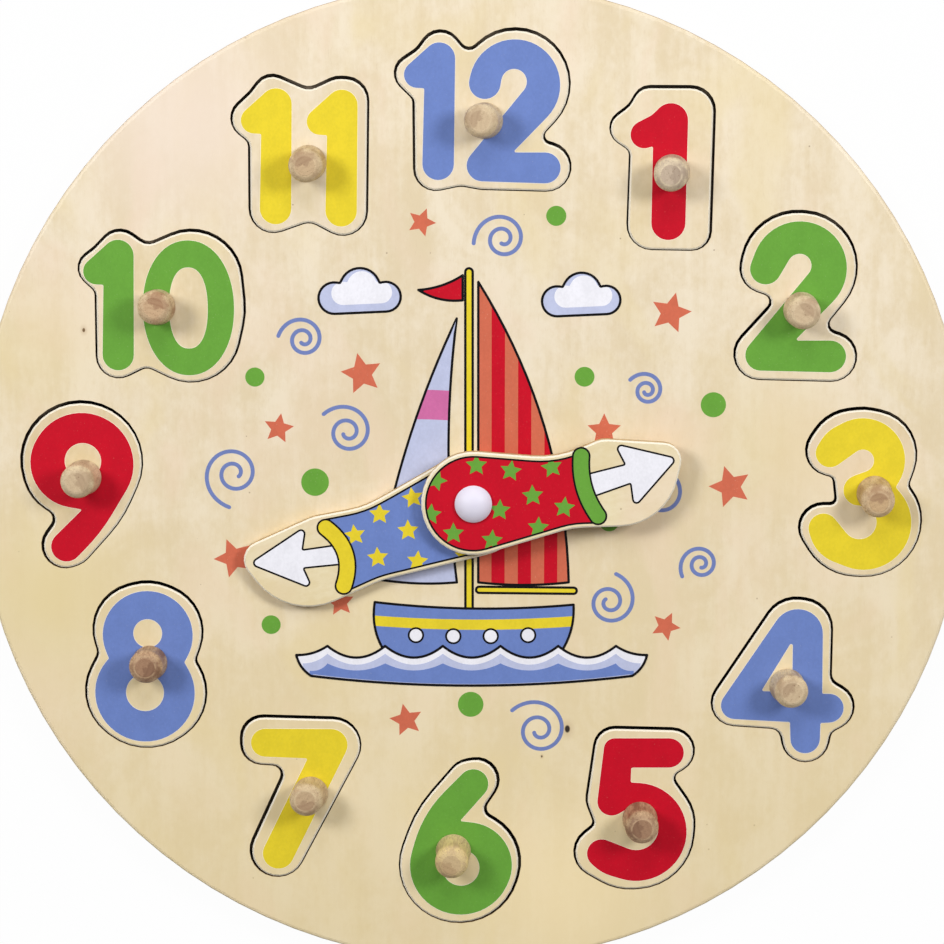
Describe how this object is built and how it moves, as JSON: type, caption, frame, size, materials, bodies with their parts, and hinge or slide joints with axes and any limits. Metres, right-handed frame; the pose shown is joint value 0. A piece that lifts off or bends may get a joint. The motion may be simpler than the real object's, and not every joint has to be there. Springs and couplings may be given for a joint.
{
  "type": "knobbed clock puzzle",
  "caption": "Round wooden clock puzzle: number-shaped tiles with peg knobs lift out of matching recesses, and wooden hands turn on a domed rivet.",
  "frame": {"origin": "centre of the board's underside, on the table", "axes": "+Z out of the printed face, +Y from the centre towards the twelve, +X towards the three"},
  "size_m": [0.3, 0.3, 0.022],
  "materials": {
    "printed_plywood": "smooth clear-coated plywood with a printed face",
    "plain_plywood": "smooth bare plywood",
    "tile_wood": "smooth clear-coated plywood with a printed number",
    "knob_wood": "waxed turned wood, end grain on top",
    "hand_wood": "smooth clear-coated plywood with a printed pattern",
    "pin_plastic": "glossy",
    "socket_plastic": "satin"
  },
  "bodies": {
    "board": {"board_back": "plain_plywood", "board_top": "printed_plywood", "pivot_pin": "pin_plastic", "pivot_socket": "socket_plastic"},
    "minute_hand": {"minute_hand": "hand_wood"},
    "hour_hand": {"hour_hand": "hand_wood"},
    "tile_01": {"tile_01": "tile_wood", "knob_01": "knob_wood"},
    "tile_02": {"tile_02": "tile_wood", "knob_02": "knob_wood"},
    "tile_03": {"tile_03": "tile_wood", "knob_03": "knob_wood"},
    "tile_04": {"tile_04": "tile_wood", "knob_04": "knob_wood"},
    "tile_05": {"tile_05": "tile_wood", "knob_05": "knob_wood"},
    "tile_06": {"tile_06": "tile_wood", "knob_06": "knob_wood"},
    "tile_07": {"tile_07": "tile_wood", "knob_07": "knob_wood"},
    "tile_08": {"tile_08": "tile_wood", "knob_08": "knob_wood"},
    "tile_09": {"tile_09": "tile_wood", "knob_09": "knob_wood"},
    "tile_10": {"tile_10": "tile_wood", "knob_10": "knob_wood"},
    "tile_11": {"tile_11": "tile_wood", "knob_11": "knob_wood"},
    "tile_12": {"tile_12": "tile_wood", "knob_12": "knob_wood"}
  },
  "joints": [
    {"name": "minute_hand_turn", "type": "hinge", "parent": "board", "child": "minute_hand", "pos_m": [0.0005, -0.005, 0.0113], "axis": [0, 0, 1], "continuous": true},
    {"name": "hour_hand_turn", "type": "hinge", "parent": "board", "child": "hour_hand", "pos_m": [0.0005, -0.005, 0.0156], "axis": [0, 0, 1], "continuous": true},
    {"name": "tile_01_lift", "type": "slide", "parent": "board", "child": "tile_01", "axis": [0, 0, 1], "range_m": [0, 0.04]},
    {"name": "tile_02_lift", "type": "slide", "parent": "board", "child": "tile_02", "axis": [0, 0, 1], "range_m": [0, 0.04]},
    {"name": "tile_03_lift", "type": "slide", "parent": "board", "child": "tile_03", "axis": [0, 0, 1], "range_m": [0, 0.04]},
    {"name": "tile_04_lift", "type": "slide", "parent": "board", "child": "tile_04", "axis": [0, 0, 1], "range_m": [0, 0.04]},
    {"name": "tile_05_lift", "type": "slide", "parent": "board", "child": "tile_05", "axis": [0, 0, 1], "range_m": [0, 0.04]},
    {"name": "tile_06_lift", "type": "slide", "parent": "board", "child": "tile_06", "axis": [0, 0, 1], "range_m": [0, 0.04]},
    {"name": "tile_07_lift", "type": "slide", "parent": "board", "child": "tile_07", "axis": [0, 0, 1], "range_m": [0, 0.04]},
    {"name": "tile_08_lift", "type": "slide", "parent": "board", "child": "tile_08", "axis": [0, 0, 1], "range_m": [0, 0.04]},
    {"name": "tile_09_lift", "type": "slide", "parent": "board", "child": "tile_09", "axis": [0, 0, 1], "range_m": [0, 0.04]},
    {"name": "tile_10_lift", "type": "slide", "parent": "board", "child": "tile_10", "axis": [0, 0, 1], "range_m": [0, 0.04]},
    {"name": "tile_11_lift", "type": "slide", "parent": "board", "child": "tile_11", "axis": [0, 0, 1], "range_m": [0, 0.04]},
    {"name": "tile_12_lift", "type": "slide", "parent": "board", "child": "tile_12", "axis": [0, 0, 1], "range_m": [0, 0.04]}
  ]
}
